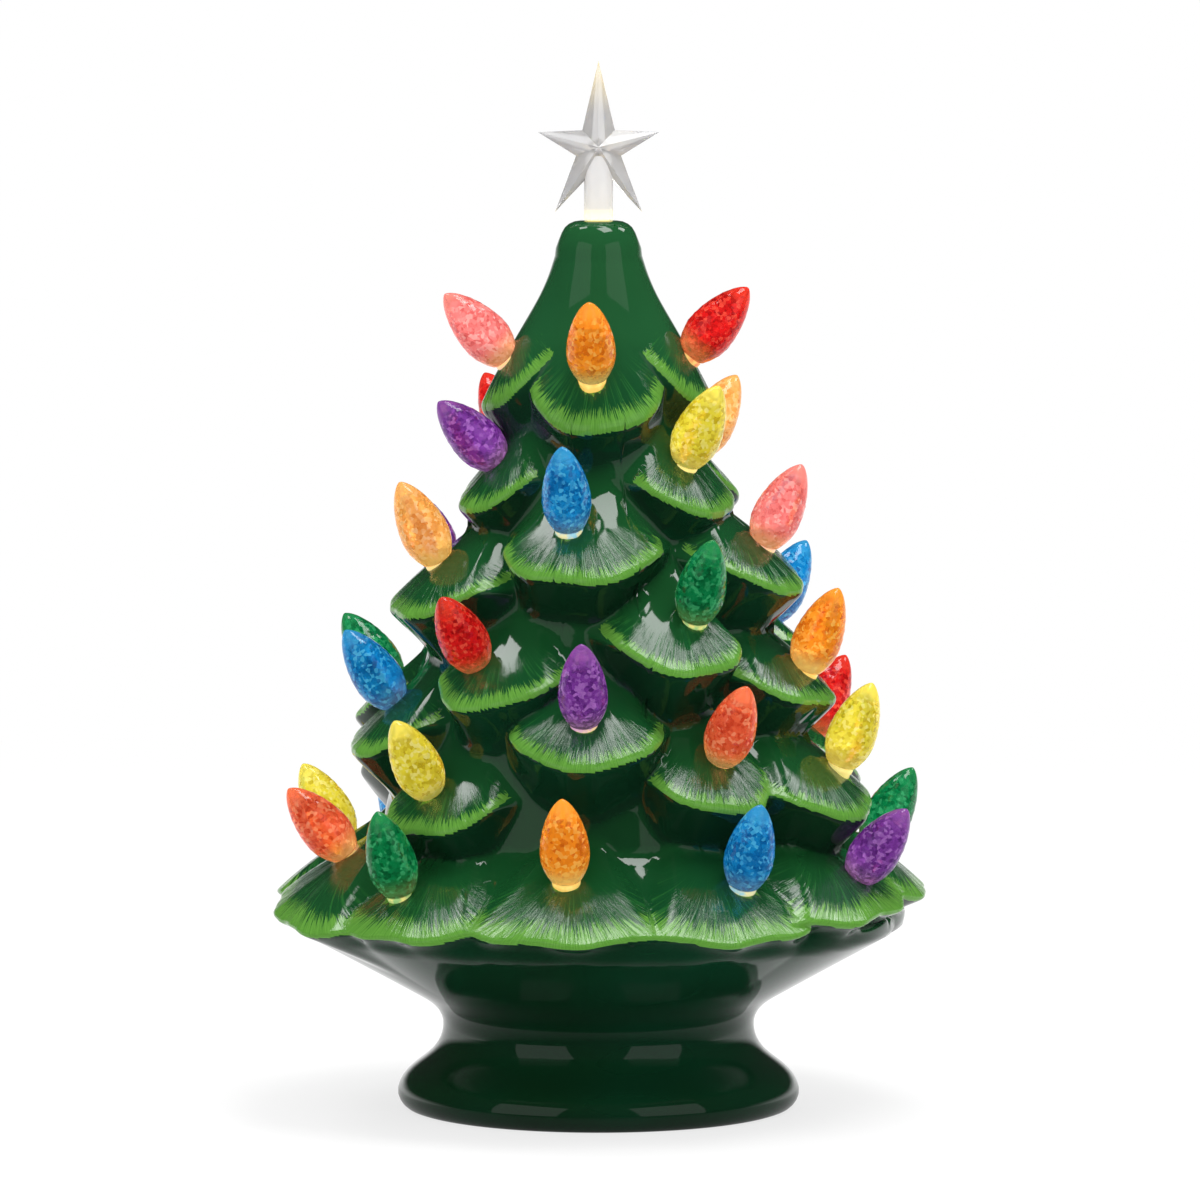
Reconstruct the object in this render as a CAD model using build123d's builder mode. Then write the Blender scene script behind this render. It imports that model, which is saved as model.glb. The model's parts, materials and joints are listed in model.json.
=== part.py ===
"""Lit ceramic tabletop tree: a hollow glazed tree on its own pedestal, plastic push-in bulbs, a clear
star, and a battery base that closes the foot. Millimetres, +Z up, origin on the floor under the star."""

import os
from math import cos, radians, sin, tan
from typing import NamedTuple

from build123d import *

os.makedirs("parts", exist_ok=True)

# Pedestal of the tree: a round foot, a narrow waist and a bowl that opens up to the lowest branches
FLOOR_RADIUS = 65.0
FOOT_RADIUS = 68.5
FOOT_BULGE_HEIGHT = 5.0
FOOT_TOP_RADIUS = 64.5
FOOT_TOP_HEIGHT = 12.5
COVE_RADIUS = 56.3
COVE_HEIGHT = 19.6
WAIST_RADIUS = 53.0
WAIST_HEIGHT = 28.4
FLARE_RADIUS = 54.3
FLARE_HEIGHT = 33.4
BOWL_RADIUS = 57.9
BOWL_HEIGHT = 37.0
SKIRT_RADIUS = 102.0
SKIRT_LOW = 62.5
SKIRT_HIGH = 68.5

# Trunk between the branches, given as radius and height from the skirt to the tip
TRUNK = [(74.0, 94.0), (67.0, 129.0), (55.0, 165.0), (42.0, 196.0), (32.0, 230.0)]
TIP_HEIGHT = 302.0
TIP_CONE = [(26.5, 261.0), (20.7, 276.0), (15.4, TIP_HEIGHT - 12.0), (12.4, TIP_HEIGHT - 4.0)]
TIP_FLAT_RADIUS = 8.0
WALL = 4.0

# Branch hoods: shallow cones whose axis leans out, so that the rim turns up at both ends. The slope is that
# of the top at the front, and the underside draws in from the vertical.
RIM_ROLL = 2.6
BOTTOM_ROLL = 1.4
CROWN_SLOPE = 64.0
CROWN_TILT = 39.0
SHOULDER_SLOPE = 50.0
SHOULDER_TILT = 34.0
MIDDLE_SLOPE = 46.0
MIDDLE_TILT = 30.0
BOTTOM_SLOPE = 40.0
BOTTOM_TILT = 19.5
UNDERSIDE = 37.0
BOTTOM_UNDERSIDE = 65.0
HOOD_DEPTH = 28.0
BOTTOM_DEPTH = 14.0

# Push-in bulbs: a strawberry-shaped body on a plain round neck
BULB_LENGTH = 28.0
BULB_RADIUS = 8.5
BULB_WIDEST = 11.0
NECK_RADIUS = 4.4
NECK_LENGTH = 7.0
NECK_CLEARANCE = 0.1
BULB_SEAT_GAP = 0.4

# Star: a flat five-point star with ridged arms on a round peg
STAR_TOP = TIP_HEIGHT + 54.0
STAR_ARM_REACH = 20.4
STAR_ARM_HEIGHT = TIP_HEIGHT + 29.8
STAR_FOOT_REACH = 14.7
STAR_FOOT_HEIGHT = TIP_HEIGHT + 2.9
STAR_NOTCH_HIGH = (5.5, TIP_HEIGHT + 30.5)
STAR_NOTCH_SIDE = (7.6, TIP_HEIGHT + 21.9)
STAR_NOTCH_LOW = TIP_HEIGHT + 18.6
STAR_HUB_HEIGHT = TIP_HEIGHT + 25.0
STAR_EDGE = 2.4
STAR_RIDGE = 6.4
PEG_RADIUS = 4.9
PEG_TOP = TIP_HEIGHT + 22.0
PEG_SEAT_GAP = 0.3
SPIGOT_RADIUS = 3.6
SPIGOT_LENGTH = 12.0
SPIGOT_CLEARANCE = 0.1

# Battery base that closes the foot
OPENING_RADIUS = 57.0
PLATE_GAP = 0.3
PLATE_RECESS = 4.0
PLATE_THICKNESS = 2.6
RING_WIDTH = 6.5
RING_HEIGHT = 6.0
GLUE_GAP = 0.15
PLATE_SCREW_COUNT = 3
PLATE_SCREW_ANGLE = 45.0
PLATE_SCREW_LENGTH = 7.0
SCREW_RADIUS = 1.4
SCREW_HEAD_RADIUS = 2.7
SCREW_HEAD_HEIGHT = 1.3
SCREW_CLEARANCE = 0.1
SCREW_SLOT = 0.8
FOOT_PAD_RADIUS = 4.5
FOOT_PAD_CIRCLE = 47.0
FOOT_PAD_COUNT = 4

# Battery bay under the plate, three cells side by side along X, with its lift-off door
CELL_COUNT = 3
CELL_RADIUS = 7.1
CELL_LENGTH = 49.2
CELL_NUB_RADIUS = 2.7
CELL_NUB = 1.3
CELL_PITCH = 15.0
CELL_SHIFT = -8.0
BAY_SLACK = 0.5
BAY_WALL = 2.4
CONTACT_THICKNESS = 0.6
CONTACT_SPRING = 1.0
CONTACT_SIZE = 9.0
CONTACT_BUMP_RADIUS = 2.2
DOOR_LEDGE = 1.4
DOOR_GAP = 0.3
DOOR_LUG_WIDTH = 11.0
DOOR_LUG_REACH = 7.0
DOOR_GRIP_LENGTH = 16.0
DOOR_GRIP_WIDTH = 1.4
DOOR_GRIP_DEPTH = 0.9
DOOR_GRIP_PITCH = 3.0
DOOR_GRIP_COUNT = 3
DOOR_SCREW_LENGTH = 8.0
BOSS_RADIUS = 3.6
BOSS_END = 1.5

# Switch, circuit board, light mast and leads inside the tree
SWITCH_WIDTH = 13.0
SWITCH_DEPTH = 7.0
SWITCH_HEIGHT = 5.0
KNOB_WIDTH = 4.0
KNOB_DEPTH = 3.0
KNOB_DROP = 1.2
KNOB_TRAVEL = 2.5
KNOB_GAP = 0.3
KNOB_FLANGE = 1.2
KNOB_FLANGE_HEIGHT = 1.4
BOARD_LENGTH = 36.0
BOARD_WIDTH = 12.0
BOARD_THICKNESS = 1.6
BOARD_FROM_BAY = 2.0
BOARD_POST_RADIUS = 2.0
BOARD_POST_INSET = 4.0
MAST_SIDE = 9.0
MAST_WALL = 1.2
MAST_TOP = TIP_HEIGHT - 50.0
MAST_FLANGE = 20.0
MAST_FLANGE_THICKNESS = 2.0
LED_RADIUS = 1.6
LED_REACH = 2.6
LED_LEVELS = 6
LED_FIRST = 70.0
LED_PITCH = 34.0
LEAD_RADIUS = 0.7
LEAD_BEND = 6.0
LEAD_SPACING = 5.0
LEAD_RISE = 8.0


class Branch(NamedTuple):
    """One hood: the azimuth is measured from the front (-Y) towards +X, reach and height give the lowest
    point of its rim, radius is half its width, and skew turns it sideways past its bulb. The bulb sits up
    the slope from the rim, and leans out from the vertical."""

    colour: str
    azimuth: float
    reach: float
    height: float
    radius: float
    skew: float
    seat: float
    side: float
    lean: float


CROWN_TIER = [
    Branch("orange", -2, 40.5, 233, 23.5, 0, 19, -1, 31),
    Branch("red", 86, 40.5, 238, 23, 0, 21, -3, 41),
    Branch("blue", 178, 40.5, 235, 23.5, 2, 21, 0, 38),
    Branch("pink", -86, 40.5, 238, 23, 0, 20, 3, 44),
]
SHOULDER_TIER = [
    Branch("purple", -64, 51, 205.5, 20, -1, 21.5, -3, 46),
    Branch("yellow", 54, 52, 204.5, 22, -1, 22.5, -2, 29),
    Branch("peach", 116, 51, 206, 21, 0, 22, 0, 32),
    Branch("green", 172, 52, 204, 21.5, 0, 18, 0, 44),
    Branch("red", -132, 51, 206, 21.5, -1, 22, 0, 32),
]
MIDDLE_TIER = [
    Branch("blue", -8, 66, 184.5, 28.5, 1, 23.5, -3, 22),
    Branch("pink", 65, 74, 178.5, 25, 1, 22, 6, 27),
    Branch("yellow", 149, 73, 177, 27, -1, 22, 0, 28),
    Branch("coral", 200, 73, 175, 26.5, 1, 22, 0, 30),
    Branch("purple", 246, 74, 167, 26.5, 0, 23, 0, 30),
    Branch("peach", -66, 75, 170.5, 27, 1, 25, -4, 27),
    Branch("red", -35, 80, 142.5, 24, 3, 20, -4, 38),
    Branch("green", 27, 81, 154.5, 24, -3, 24, 3, 25),
    Branch("orange", 67, 84, 141, 27.5, 0, 15, 5, 23),
    Branch("blue", 116, 80, 149, 29, 0, 22, 0, 30),
    Branch("pink", 168, 83, 141, 26.5, -1, 20, 0, 33),
    Branch("orange", 218, 86, 140, 27.5, 0, 18, 0, 36),
    Branch("green", 251, 87, 130, 25.5, -1, 17, 0, 36),
    Branch("blue", -71, 88, 123.5, 25.5, -1, 24, -6, 35),
    Branch("purple", -3, 88, 124.5, 27.5, 0, 20, -1, 25),
    Branch("yellow", -44, 91, 100.5, 25.5, 0, 18.5, -3, 33),
    Branch("coral", 32, 90, 109, 23, -1, 23, 2, 31),
    Branch("yellow", 64, 101, 104, 30.5, -1, 22, 10, 22),
    Branch("red", 117, 97, 108, 29, 0, 22, 0, 28),
    Branch("blue", 158, 96, 106, 28.5, 1, 22, 0, 30),
    Branch("orange", 203, 96, 105, 28, -1, 22, 0, 30),
    Branch("pink", 230, 98, 106, 28.5, 0, 18, 0, 36),
]
BOTTOM_TIER = [
    Branch("coral", -70, 116, 69, 52, 0, 34, -5, 42),
    Branch("green", -40, 112.5, 67.5, 52, 0, 22, -6, 21),
    Branch("orange", -6, 112, 68.5, 52, 0, 31, -1.5, 22),
    Branch("blue", 27, 112.5, 68, 52, 0, 27, 7, 22),
    Branch("purple", 60, 113, 72, 52, 0, 20, 6, 38),
    Branch("green", 95, 113, 73, 52, 0, 24, 4, 28),
    Branch("pink", 128, 113, 71, 52, 0, 27, 0, 30),
    Branch("red", 159, 113, 69, 52, 0, 21, 0, 38),
    Branch("purple", 190, 113, 69, 52, 0, 27, 0, 30),
    Branch("blue", 221, 113, 70, 52, 0, 21, 0, 38),
    Branch("yellow", -106, 113, 71, 52, 0, 27, -3, 30),
]


class Hood(NamedTuple):
    """A branch with the shape of its tier, and the planes that place its hood and its bulb. The rise is the
    angle of its cone above the plane of the rim, and the flare widens it downwards along its axis."""

    branch: Branch
    rise: float
    flare: float
    depth: float
    roll: float
    rim: Plane
    bulb: Plane


def heading(azimuth):
    return Vector(sin(radians(azimuth)), -cos(radians(azimuth)), 0)


def place(branch, slope, tilt, underside, depth, roll):
    """Leans the hood out from the trunk and stands the bulb on it, just clear of the glaze round the neck."""
    upward = Vector(0, 0, 1)
    outward = heading(branch.azimuth)
    normal = outward * sin(radians(slope)) + upward * cos(radians(slope))
    downhill = outward * cos(radians(slope)) - upward * sin(radians(slope))
    sideways = normal.cross(downhill)
    lowest = outward * branch.reach + upward * branch.height
    seat = lowest - downhill * branch.seat + sideways * branch.side
    lean_outward = Vector(seat.X, seat.Y, 0).normalized()
    axis = lean_outward * sin(radians(branch.lean)) + upward * cos(radians(branch.lean))
    lift = (NECK_RADIUS + NECK_CLEARANCE) * tan(radians(axis.get_angle(normal))) + BULB_SEAT_GAP
    bulb = Plane(origin=seat + axis * lift, x_dir=upward.cross(lean_outward), z_dir=axis)
    front = heading(branch.azimuth + branch.skew)
    rim_outward = front * cos(radians(tilt)) - upward * sin(radians(tilt))
    rim_axis = front * sin(radians(tilt)) + upward * cos(radians(tilt))
    rim_centre = front * branch.reach + upward * branch.height - rim_outward * branch.radius
    rim = Plane(origin=rim_centre, x_dir=rim_outward, z_dir=rim_axis)
    return Hood(branch, slope - tilt, tilt - underside, depth, roll, rim, bulb)


def hood_solid(hood, inset=0.0):
    """The cone of a branch on its drawn-in side, or the pocket that lies inset under both."""
    rise = radians(hood.rise)
    flare = radians(hood.flare)
    shift = inset * (tan(flare) / cos(rise) - 1 / cos(flare)) / (1 - tan(flare) * tan(rise))
    edge = hood.branch.radius + shift
    edge_height = -shift * tan(rise) - inset / cos(rise)
    top = edge_height + edge * tan(rise)
    low = inset - hood.depth
    low_edge = edge + tan(flare) * (edge_height - low)
    section_plane = Plane(origin=hood.rim.origin, x_dir=hood.rim.x_dir, z_dir=-hood.rim.y_dir)
    with BuildPart() as solid:
        with BuildSketch(section_plane) as section:
            with BuildLine():
                Polyline((0, low), (0, top), (edge, edge_height), (low_edge, low), close=True)
            make_face()
            if inset == 0:
                fillet(section.vertices().sort_by(Axis.X)[-1], radius=hood.roll)
        revolve(axis=Axis(hood.rim.origin, hood.rim.z_dir))
    return solid.part


TIERS = [
    (CROWN_TIER, CROWN_SLOPE, CROWN_TILT, UNDERSIDE, HOOD_DEPTH, RIM_ROLL),
    (SHOULDER_TIER, SHOULDER_SLOPE, SHOULDER_TILT, UNDERSIDE, HOOD_DEPTH, RIM_ROLL),
    (MIDDLE_TIER, MIDDLE_SLOPE, MIDDLE_TILT, UNDERSIDE, HOOD_DEPTH, RIM_ROLL),
    (BOTTOM_TIER, BOTTOM_SLOPE, BOTTOM_TILT, BOTTOM_UNDERSIDE, BOTTOM_DEPTH, BOTTOM_ROLL),
]
HOODS = [place(branch, *shape) for tier, *shape in TIERS for branch in tier]
UPPER_HOODS = HOODS[: -len(BOTTOM_TIER)]

PLATE_TOP = PLATE_RECESS + PLATE_THICKNESS
RING_TOP = PLATE_TOP + RING_HEIGHT

# Ceramic tree: the turned pedestal and trunk, the branch hoods, and the hollow that follows both
floor_edge = (FLOOR_RADIUS, 0)
foot_bulge = (FOOT_RADIUS, FOOT_BULGE_HEIGHT)
foot_top = (FOOT_TOP_RADIUS, FOOT_TOP_HEIGHT)
cove = (COVE_RADIUS, COVE_HEIGHT)
waist = (WAIST_RADIUS, WAIST_HEIGHT)
bowl_flare = (FLARE_RADIUS, FLARE_HEIGHT)
bowl = (BOWL_RADIUS, BOWL_HEIGHT)
with BuildPart() as turned:
    with BuildSketch(Plane.XZ) as turned_section:
        with BuildLine():
            Line((0, 0), floor_edge)
            ThreePointArc(floor_edge, foot_bulge, foot_top)
            ThreePointArc(foot_top, cove, waist)
            ThreePointArc(waist, bowl_flare, bowl)
            Polyline(
                bowl,
                (SKIRT_RADIUS, SKIRT_LOW),
                (SKIRT_RADIUS, SKIRT_HIGH),
                *TRUNK,
                *TIP_CONE,
                (TIP_FLAT_RADIUS, TIP_HEIGHT),
                (0, TIP_HEIGHT),
                (0, 0),
            )
        make_face()
    revolve(axis=Axis.Z)

with BuildPart() as turned_hollow:
    with BuildSketch(Plane.XZ) as hollow_section:
        add(turned_section.sketch_local)
        mirror(about=Plane.YZ)
        offset(amount=-WALL, kind=Kind.INTERSECTION, mode=Mode.REPLACE)
        split(bisect_by=Plane.YZ, keep=Keep.TOP)
        with Locations((0, RING_TOP / 2)):
            Rectangle(2 * FOOT_RADIUS, RING_TOP, mode=Mode.SUBTRACT)
    revolve(axis=Axis.Z)

# The wall of the bowl already follows the bottom branches, so only the upper ones have pockets
with BuildPart() as hollow:
    add(turned_hollow.part)
    for hood in UPPER_HOODS:
        add(hood_solid(hood, WALL))

with BuildPart() as ceramic_tree:
    add(turned.part)
    add([hood_solid(hood) for hood in HOODS])
    add(hollow.part, mode=Mode.SUBTRACT)
    with BuildSketch(Plane.XY):
        Circle(OPENING_RADIUS)
    extrude(amount=RING_TOP, mode=Mode.SUBTRACT)
    with BuildSketch(Plane.XY.offset(TIP_HEIGHT)):
        Circle(SPIGOT_RADIUS + SPIGOT_CLEARANCE)
    extrude(amount=-2 * SPIGOT_LENGTH, mode=Mode.SUBTRACT)
    with Locations(*[hood.bulb for hood in HOODS]):
        Cylinder(NECK_RADIUS + NECK_CLEARANCE, 4 * NECK_LENGTH, mode=Mode.SUBTRACT)
    # Neighbouring pockets can leave a loose crumb inside the hollow, which isn't part of the shell
    add(ceramic_tree.solids().sort_by(SortBy.VOLUME)[-1], mode=Mode.REPLACE)
ceramic_tree.part.label = "ceramic_tree"
export_step(ceramic_tree.part, "parts/ceramic_tree.step")

# Bulbs: a rounded body drawn in to a plain neck, one for each branch
for number, hood in enumerate(HOODS, start=1):
    section_plane = Plane(origin=hood.bulb.origin, x_dir=hood.bulb.x_dir, z_dir=-hood.bulb.y_dir)
    with BuildPart() as bulb:
        with BuildSketch(section_plane):
            with BuildLine():
                Line((0, BULB_LENGTH), (0, -NECK_LENGTH))
                Line((0, -NECK_LENGTH), (NECK_RADIUS, -NECK_LENGTH))
                Line((NECK_RADIUS, -NECK_LENGTH), (NECK_RADIUS, 0))
                Spline((NECK_RADIUS, 0), (BULB_RADIUS, BULB_WIDEST), tangents=[(1, 1), (0, 1)])
                Spline((BULB_RADIUS, BULB_WIDEST), (0, BULB_LENGTH), tangents=[(0, 1), (-1, 0)])
            make_face()
        revolve(axis=Axis(hood.bulb.origin, hood.bulb.z_dir))
    bulb_name = f"bulb_{number:02d}_{hood.branch.colour}"
    bulb.part.label = bulb_name
    export_step(bulb.part, f"parts/{bulb_name}.step")

# Star: ten edge points, a ridge that rises to the hub on both faces, and the peg that stands in the tip
high_x, high_z = STAR_NOTCH_HIGH
side_x, side_z = STAR_NOTCH_SIDE
right_half = [
    (high_x, high_z),
    (STAR_ARM_REACH, STAR_ARM_HEIGHT),
    (side_x, side_z),
    (STAR_FOOT_REACH, STAR_FOOT_HEIGHT),
]
left_half = [(-x, z) for x, z in reversed(right_half)]
with BuildPart() as star_topper:
    with BuildSketch(Plane.XZ) as star_outline:
        with BuildLine():
            Polyline((0, STAR_TOP), *right_half, (0, STAR_NOTCH_LOW), *left_half, close=True)
        make_face()
    extrude(amount=STAR_EDGE / 2, both=True)
    for side in (-1, 1):
        star_face = star_outline.sketch.face().moved(Location((0, side * STAR_EDGE / 2, 0)))
        loft([star_face, Vertex(0, side * STAR_RIDGE, STAR_HUB_HEIGHT)], ruled=True)
    with BuildSketch(Plane.XY.offset(TIP_HEIGHT + PEG_SEAT_GAP)):
        Circle(PEG_RADIUS)
    extrude(amount=PEG_TOP - TIP_HEIGHT - PEG_SEAT_GAP)
    with BuildSketch(Plane.XY.offset(TIP_HEIGHT + PEG_SEAT_GAP)):
        Circle(SPIGOT_RADIUS)
    extrude(amount=-SPIGOT_LENGTH)
star_topper.part.label = "star_topper"
export_step(star_topper.part, "parts/star_topper.step")

# Ring glued inside the foot, which takes the screws of the base plate
ring_outer = OPENING_RADIUS - GLUE_GAP
screw_circle = ring_outer - RING_WIDTH / 2
with BuildPart() as mounting_ring:
    with BuildSketch(Plane.XY.offset(PLATE_TOP)):
        Circle(ring_outer)
        Circle(ring_outer - RING_WIDTH, mode=Mode.SUBTRACT)
        with PolarLocations(screw_circle, PLATE_SCREW_COUNT, start_angle=PLATE_SCREW_ANGLE):
            Circle(SCREW_RADIUS + SCREW_CLEARANCE, mode=Mode.SUBTRACT)
    extrude(amount=RING_HEIGHT)
mounting_ring.part.label = "mounting_ring"
export_step(mounting_ring.part, "parts/mounting_ring.step")

# Battery bay sizes, all from the cells
bay_length = CELL_LENGTH + CELL_NUB + 2 * (CONTACT_THICKNESS + CONTACT_SPRING)
bay_width = CELL_PITCH * (CELL_COUNT - 1) + 2 * (CELL_RADIUS + BAY_SLACK)
door_top = PLATE_TOP - DOOR_GAP
bay_ceiling = door_top + 2 * (CELL_RADIUS + BAY_SLACK)
bay_roof = bay_ceiling + BAY_WALL
bay_back = CELL_SHIFT + bay_width / 2 + BAY_WALL
lug_y = CELL_SHIFT - bay_width / 2 - DOOR_LEDGE - DOOR_LUG_REACH / 2
board_y = bay_back + BOARD_FROM_BAY + BOARD_WIDTH / 2
board_bottom = PLATE_TOP + SWITCH_HEIGHT
post_x = BOARD_LENGTH / 2 - BOARD_POST_INSET
slot_length = KNOB_WIDTH + 2 * (KNOB_TRAVEL + KNOB_GAP)


def door_outline(gap):
    """The door with its screw lug, drawn smaller by a gap all round."""
    with Locations((0, CELL_SHIFT)):
        Rectangle(bay_length + 2 * (DOOR_LEDGE - gap), bay_width + 2 * (DOOR_LEDGE - gap))
    with Locations((0, lug_y + BAY_WALL / 2)):
        Rectangle(DOOR_LUG_WIDTH - 2 * gap, DOOR_LUG_REACH + BAY_WALL - 2 * gap)


# Base plate with the bay, the screw boss of the door and the posts of the board moulded on
with BuildPart() as base_plate:
    with BuildSketch(Plane.XY.offset(PLATE_RECESS)):
        Circle(OPENING_RADIUS - PLATE_GAP)
    extrude(amount=PLATE_THICKNESS)
    with BuildSketch(Plane.XY.offset(PLATE_TOP)):
        with Locations((0, CELL_SHIFT)):
            Rectangle(bay_length + 2 * BAY_WALL, bay_width + 2 * BAY_WALL)
    extrude(amount=bay_roof - PLATE_TOP)
    with BuildSketch(Plane.XY.offset(PLATE_TOP)):
        with Locations((0, lug_y)):
            Circle(BOSS_RADIUS)
    extrude(amount=DOOR_SCREW_LENGTH - PLATE_THICKNESS + BOSS_END)
    with BuildSketch(Plane.XY.offset(PLATE_TOP)):
        with Locations((-post_x, board_y), (post_x, board_y)):
            Circle(BOARD_POST_RADIUS)
    extrude(amount=SWITCH_HEIGHT)
    with BuildSketch(Plane.XY.offset(PLATE_RECESS)):
        door_outline(0)
    extrude(amount=PLATE_THICKNESS, mode=Mode.SUBTRACT)
    with BuildSketch(Plane.XY.offset(PLATE_RECESS)):
        with Locations((0, CELL_SHIFT)):
            Rectangle(bay_length, bay_width)
    extrude(amount=bay_ceiling - PLATE_RECESS, mode=Mode.SUBTRACT)
    with BuildSketch(Plane.XY.offset(PLATE_RECESS)):
        with Locations((0, lug_y)):
            Circle(SCREW_RADIUS + SCREW_CLEARANCE)
        with Locations((0, board_y)):
            Rectangle(slot_length, KNOB_DEPTH + 2 * KNOB_GAP)
        with PolarLocations(screw_circle, PLATE_SCREW_COUNT, start_angle=PLATE_SCREW_ANGLE):
            Circle(SCREW_RADIUS + SCREW_CLEARANCE)
    extrude(amount=DOOR_SCREW_LENGTH + SCREW_CLEARANCE, mode=Mode.SUBTRACT)
    with BuildSketch(Plane.XY.offset(PLATE_RECESS)):
        with PolarLocations(screw_circle, PLATE_SCREW_COUNT, start_angle=PLATE_SCREW_ANGLE):
            Circle(SCREW_HEAD_RADIUS + SCREW_CLEARANCE)
    extrude(amount=SCREW_HEAD_HEIGHT, mode=Mode.SUBTRACT)
base_plate.part.label = "base_plate"
export_step(base_plate.part, "parts/base_plate.step")

# Lift-off battery door with finger grooves and a lug for its screw
with BuildPart() as battery_door:
    with BuildSketch(Plane.XY.offset(PLATE_RECESS)):
        door_outline(DOOR_GAP)
    extrude(amount=door_top - PLATE_RECESS)
    with BuildSketch(Plane.XY.offset(PLATE_RECESS)):
        with Locations((0, CELL_SHIFT)):
            with GridLocations(0, DOOR_GRIP_PITCH, 1, DOOR_GRIP_COUNT):
                SlotOverall(DOOR_GRIP_LENGTH, DOOR_GRIP_WIDTH)
    extrude(amount=DOOR_GRIP_DEPTH, mode=Mode.SUBTRACT)
    with BuildSketch(Plane.XY.offset(PLATE_RECESS)):
        with Locations((0, lug_y)):
            Circle(SCREW_RADIUS + SCREW_CLEARANCE)
    extrude(amount=PLATE_THICKNESS, mode=Mode.SUBTRACT)
    with BuildSketch(Plane.XY.offset(PLATE_RECESS)):
        with Locations((0, lug_y)):
            Circle(SCREW_HEAD_RADIUS + SCREW_CLEARANCE)
    extrude(amount=SCREW_HEAD_HEIGHT, mode=Mode.SUBTRACT)
battery_door.part.label = "battery_door"
export_step(battery_door.part, "parts/battery_door.step")


def screw_at(spots, length):
    """Slotted pan-head screws driven up from the underside of the plate."""
    with BuildPart() as screws:
        with BuildSketch(Plane.XY.offset(PLATE_RECESS)):
            with spots:
                Circle(SCREW_HEAD_RADIUS)
        extrude(amount=SCREW_HEAD_HEIGHT)
        with BuildSketch(Plane.XY.offset(PLATE_RECESS)):
            with spots:
                Circle(SCREW_RADIUS)
        extrude(amount=length)
        with BuildSketch(Plane.XY.offset(PLATE_RECESS)):
            with spots:
                Rectangle(2 * SCREW_HEAD_RADIUS, SCREW_SLOT)
        extrude(amount=SCREW_HEAD_HEIGHT / 2, mode=Mode.SUBTRACT)
    return screws.part


door_screw = screw_at(Locations((0, lug_y)), DOOR_SCREW_LENGTH)
door_screw.label = "door_screw"
export_step(door_screw, "parts/door_screw.step")

screw_spots = PolarLocations(screw_circle, PLATE_SCREW_COUNT, start_angle=PLATE_SCREW_ANGLE)
plate_screws = screw_at(screw_spots, PLATE_SCREW_LENGTH)
plate_screws.label = "plate_screws"
export_step(plate_screws, "parts/plate_screws.step")

# Rubber pads under the plate, level with the ceramic foot
with BuildPart() as rubber_feet:
    with BuildSketch(Plane.XY):
        with PolarLocations(FOOT_PAD_CIRCLE, FOOT_PAD_COUNT):
            Circle(FOOT_PAD_RADIUS)
    extrude(amount=PLATE_RECESS)
rubber_feet.part.label = "rubber_feet"
export_step(rubber_feet.part, "parts/rubber_feet.step")

# Cells, lying head to tail, with a sprung contact pad at each end
cell_z = door_top + BAY_SLACK + CELL_RADIUS
cell_rows = [CELL_SHIFT + (row - (CELL_COUNT - 1) / 2) * CELL_PITCH for row in range(CELL_COUNT)]
cell_end = (CELL_LENGTH + CELL_NUB) / 2
with BuildPart() as batteries:
    for row, cell_y in enumerate(cell_rows):
        heading = 1 if row % 2 == 0 else -1
        cell_base = Plane(origin=(-heading * cell_end, cell_y, cell_z), z_dir=(heading, 0, 0))
        with BuildSketch(cell_base):
            Circle(CELL_RADIUS)
        extrude(amount=CELL_LENGTH)
        with BuildSketch(cell_base.offset(CELL_LENGTH)):
            Circle(CELL_NUB_RADIUS)
        extrude(amount=CELL_NUB)
batteries.part.label = "batteries"
export_step(batteries.part, "parts/batteries.step")

with BuildPart() as battery_contacts:
    for end in (-1, 1):
        pad_plane = Plane(origin=(end * bay_length / 2, 0, cell_z), x_dir=(0, 1, 0), z_dir=(-end, 0, 0))
        with BuildSketch(pad_plane):
            with Locations(*[(cell_y, 0) for cell_y in cell_rows]):
                Rectangle(CONTACT_SIZE, CONTACT_SIZE)
        extrude(amount=CONTACT_THICKNESS)
        with BuildSketch(pad_plane.offset(CONTACT_THICKNESS)):
            with Locations(*[(cell_y, 0) for cell_y in cell_rows]):
                Circle(CONTACT_BUMP_RADIUS)
        extrude(amount=CONTACT_SPRING)
battery_contacts.part.label = "battery_contacts"
export_step(battery_contacts.part, "parts/battery_contacts.step")

# Slide switch on the board, reached through a slot in the plate
with BuildPart() as switch_body:
    with BuildSketch(Plane.XY.offset(PLATE_TOP)):
        with Locations((0, board_y)):
            Rectangle(SWITCH_WIDTH, SWITCH_DEPTH)
    extrude(amount=SWITCH_HEIGHT)
    with BuildSketch(Plane.XY.offset(PLATE_TOP)):
        with Locations((0, board_y)):
            Rectangle(slot_length + 2 * KNOB_FLANGE, KNOB_DEPTH + 2 * (KNOB_FLANGE + KNOB_GAP))
    extrude(amount=KNOB_FLANGE_HEIGHT + 2 * KNOB_GAP, mode=Mode.SUBTRACT)
switch_body.part.label = "switch_body"
export_step(switch_body.part, "parts/switch_body.step")

with BuildPart() as switch_slider:
    with BuildSketch(Plane.XY.offset(PLATE_TOP + KNOB_GAP)):
        with Locations((0, board_y)):
            Rectangle(KNOB_WIDTH + 2 * KNOB_FLANGE, KNOB_DEPTH + 2 * KNOB_FLANGE)
    extrude(amount=KNOB_FLANGE_HEIGHT)
    with BuildSketch(Plane.XY.offset(PLATE_TOP + KNOB_GAP)):
        with Locations((0, board_y)):
            Rectangle(KNOB_WIDTH, KNOB_DEPTH)
    extrude(amount=-(PLATE_THICKNESS + KNOB_GAP + KNOB_DROP))
switch_slider.part.label = "switch_slider"
export_step(switch_slider.part, "parts/switch_slider.step")

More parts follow.
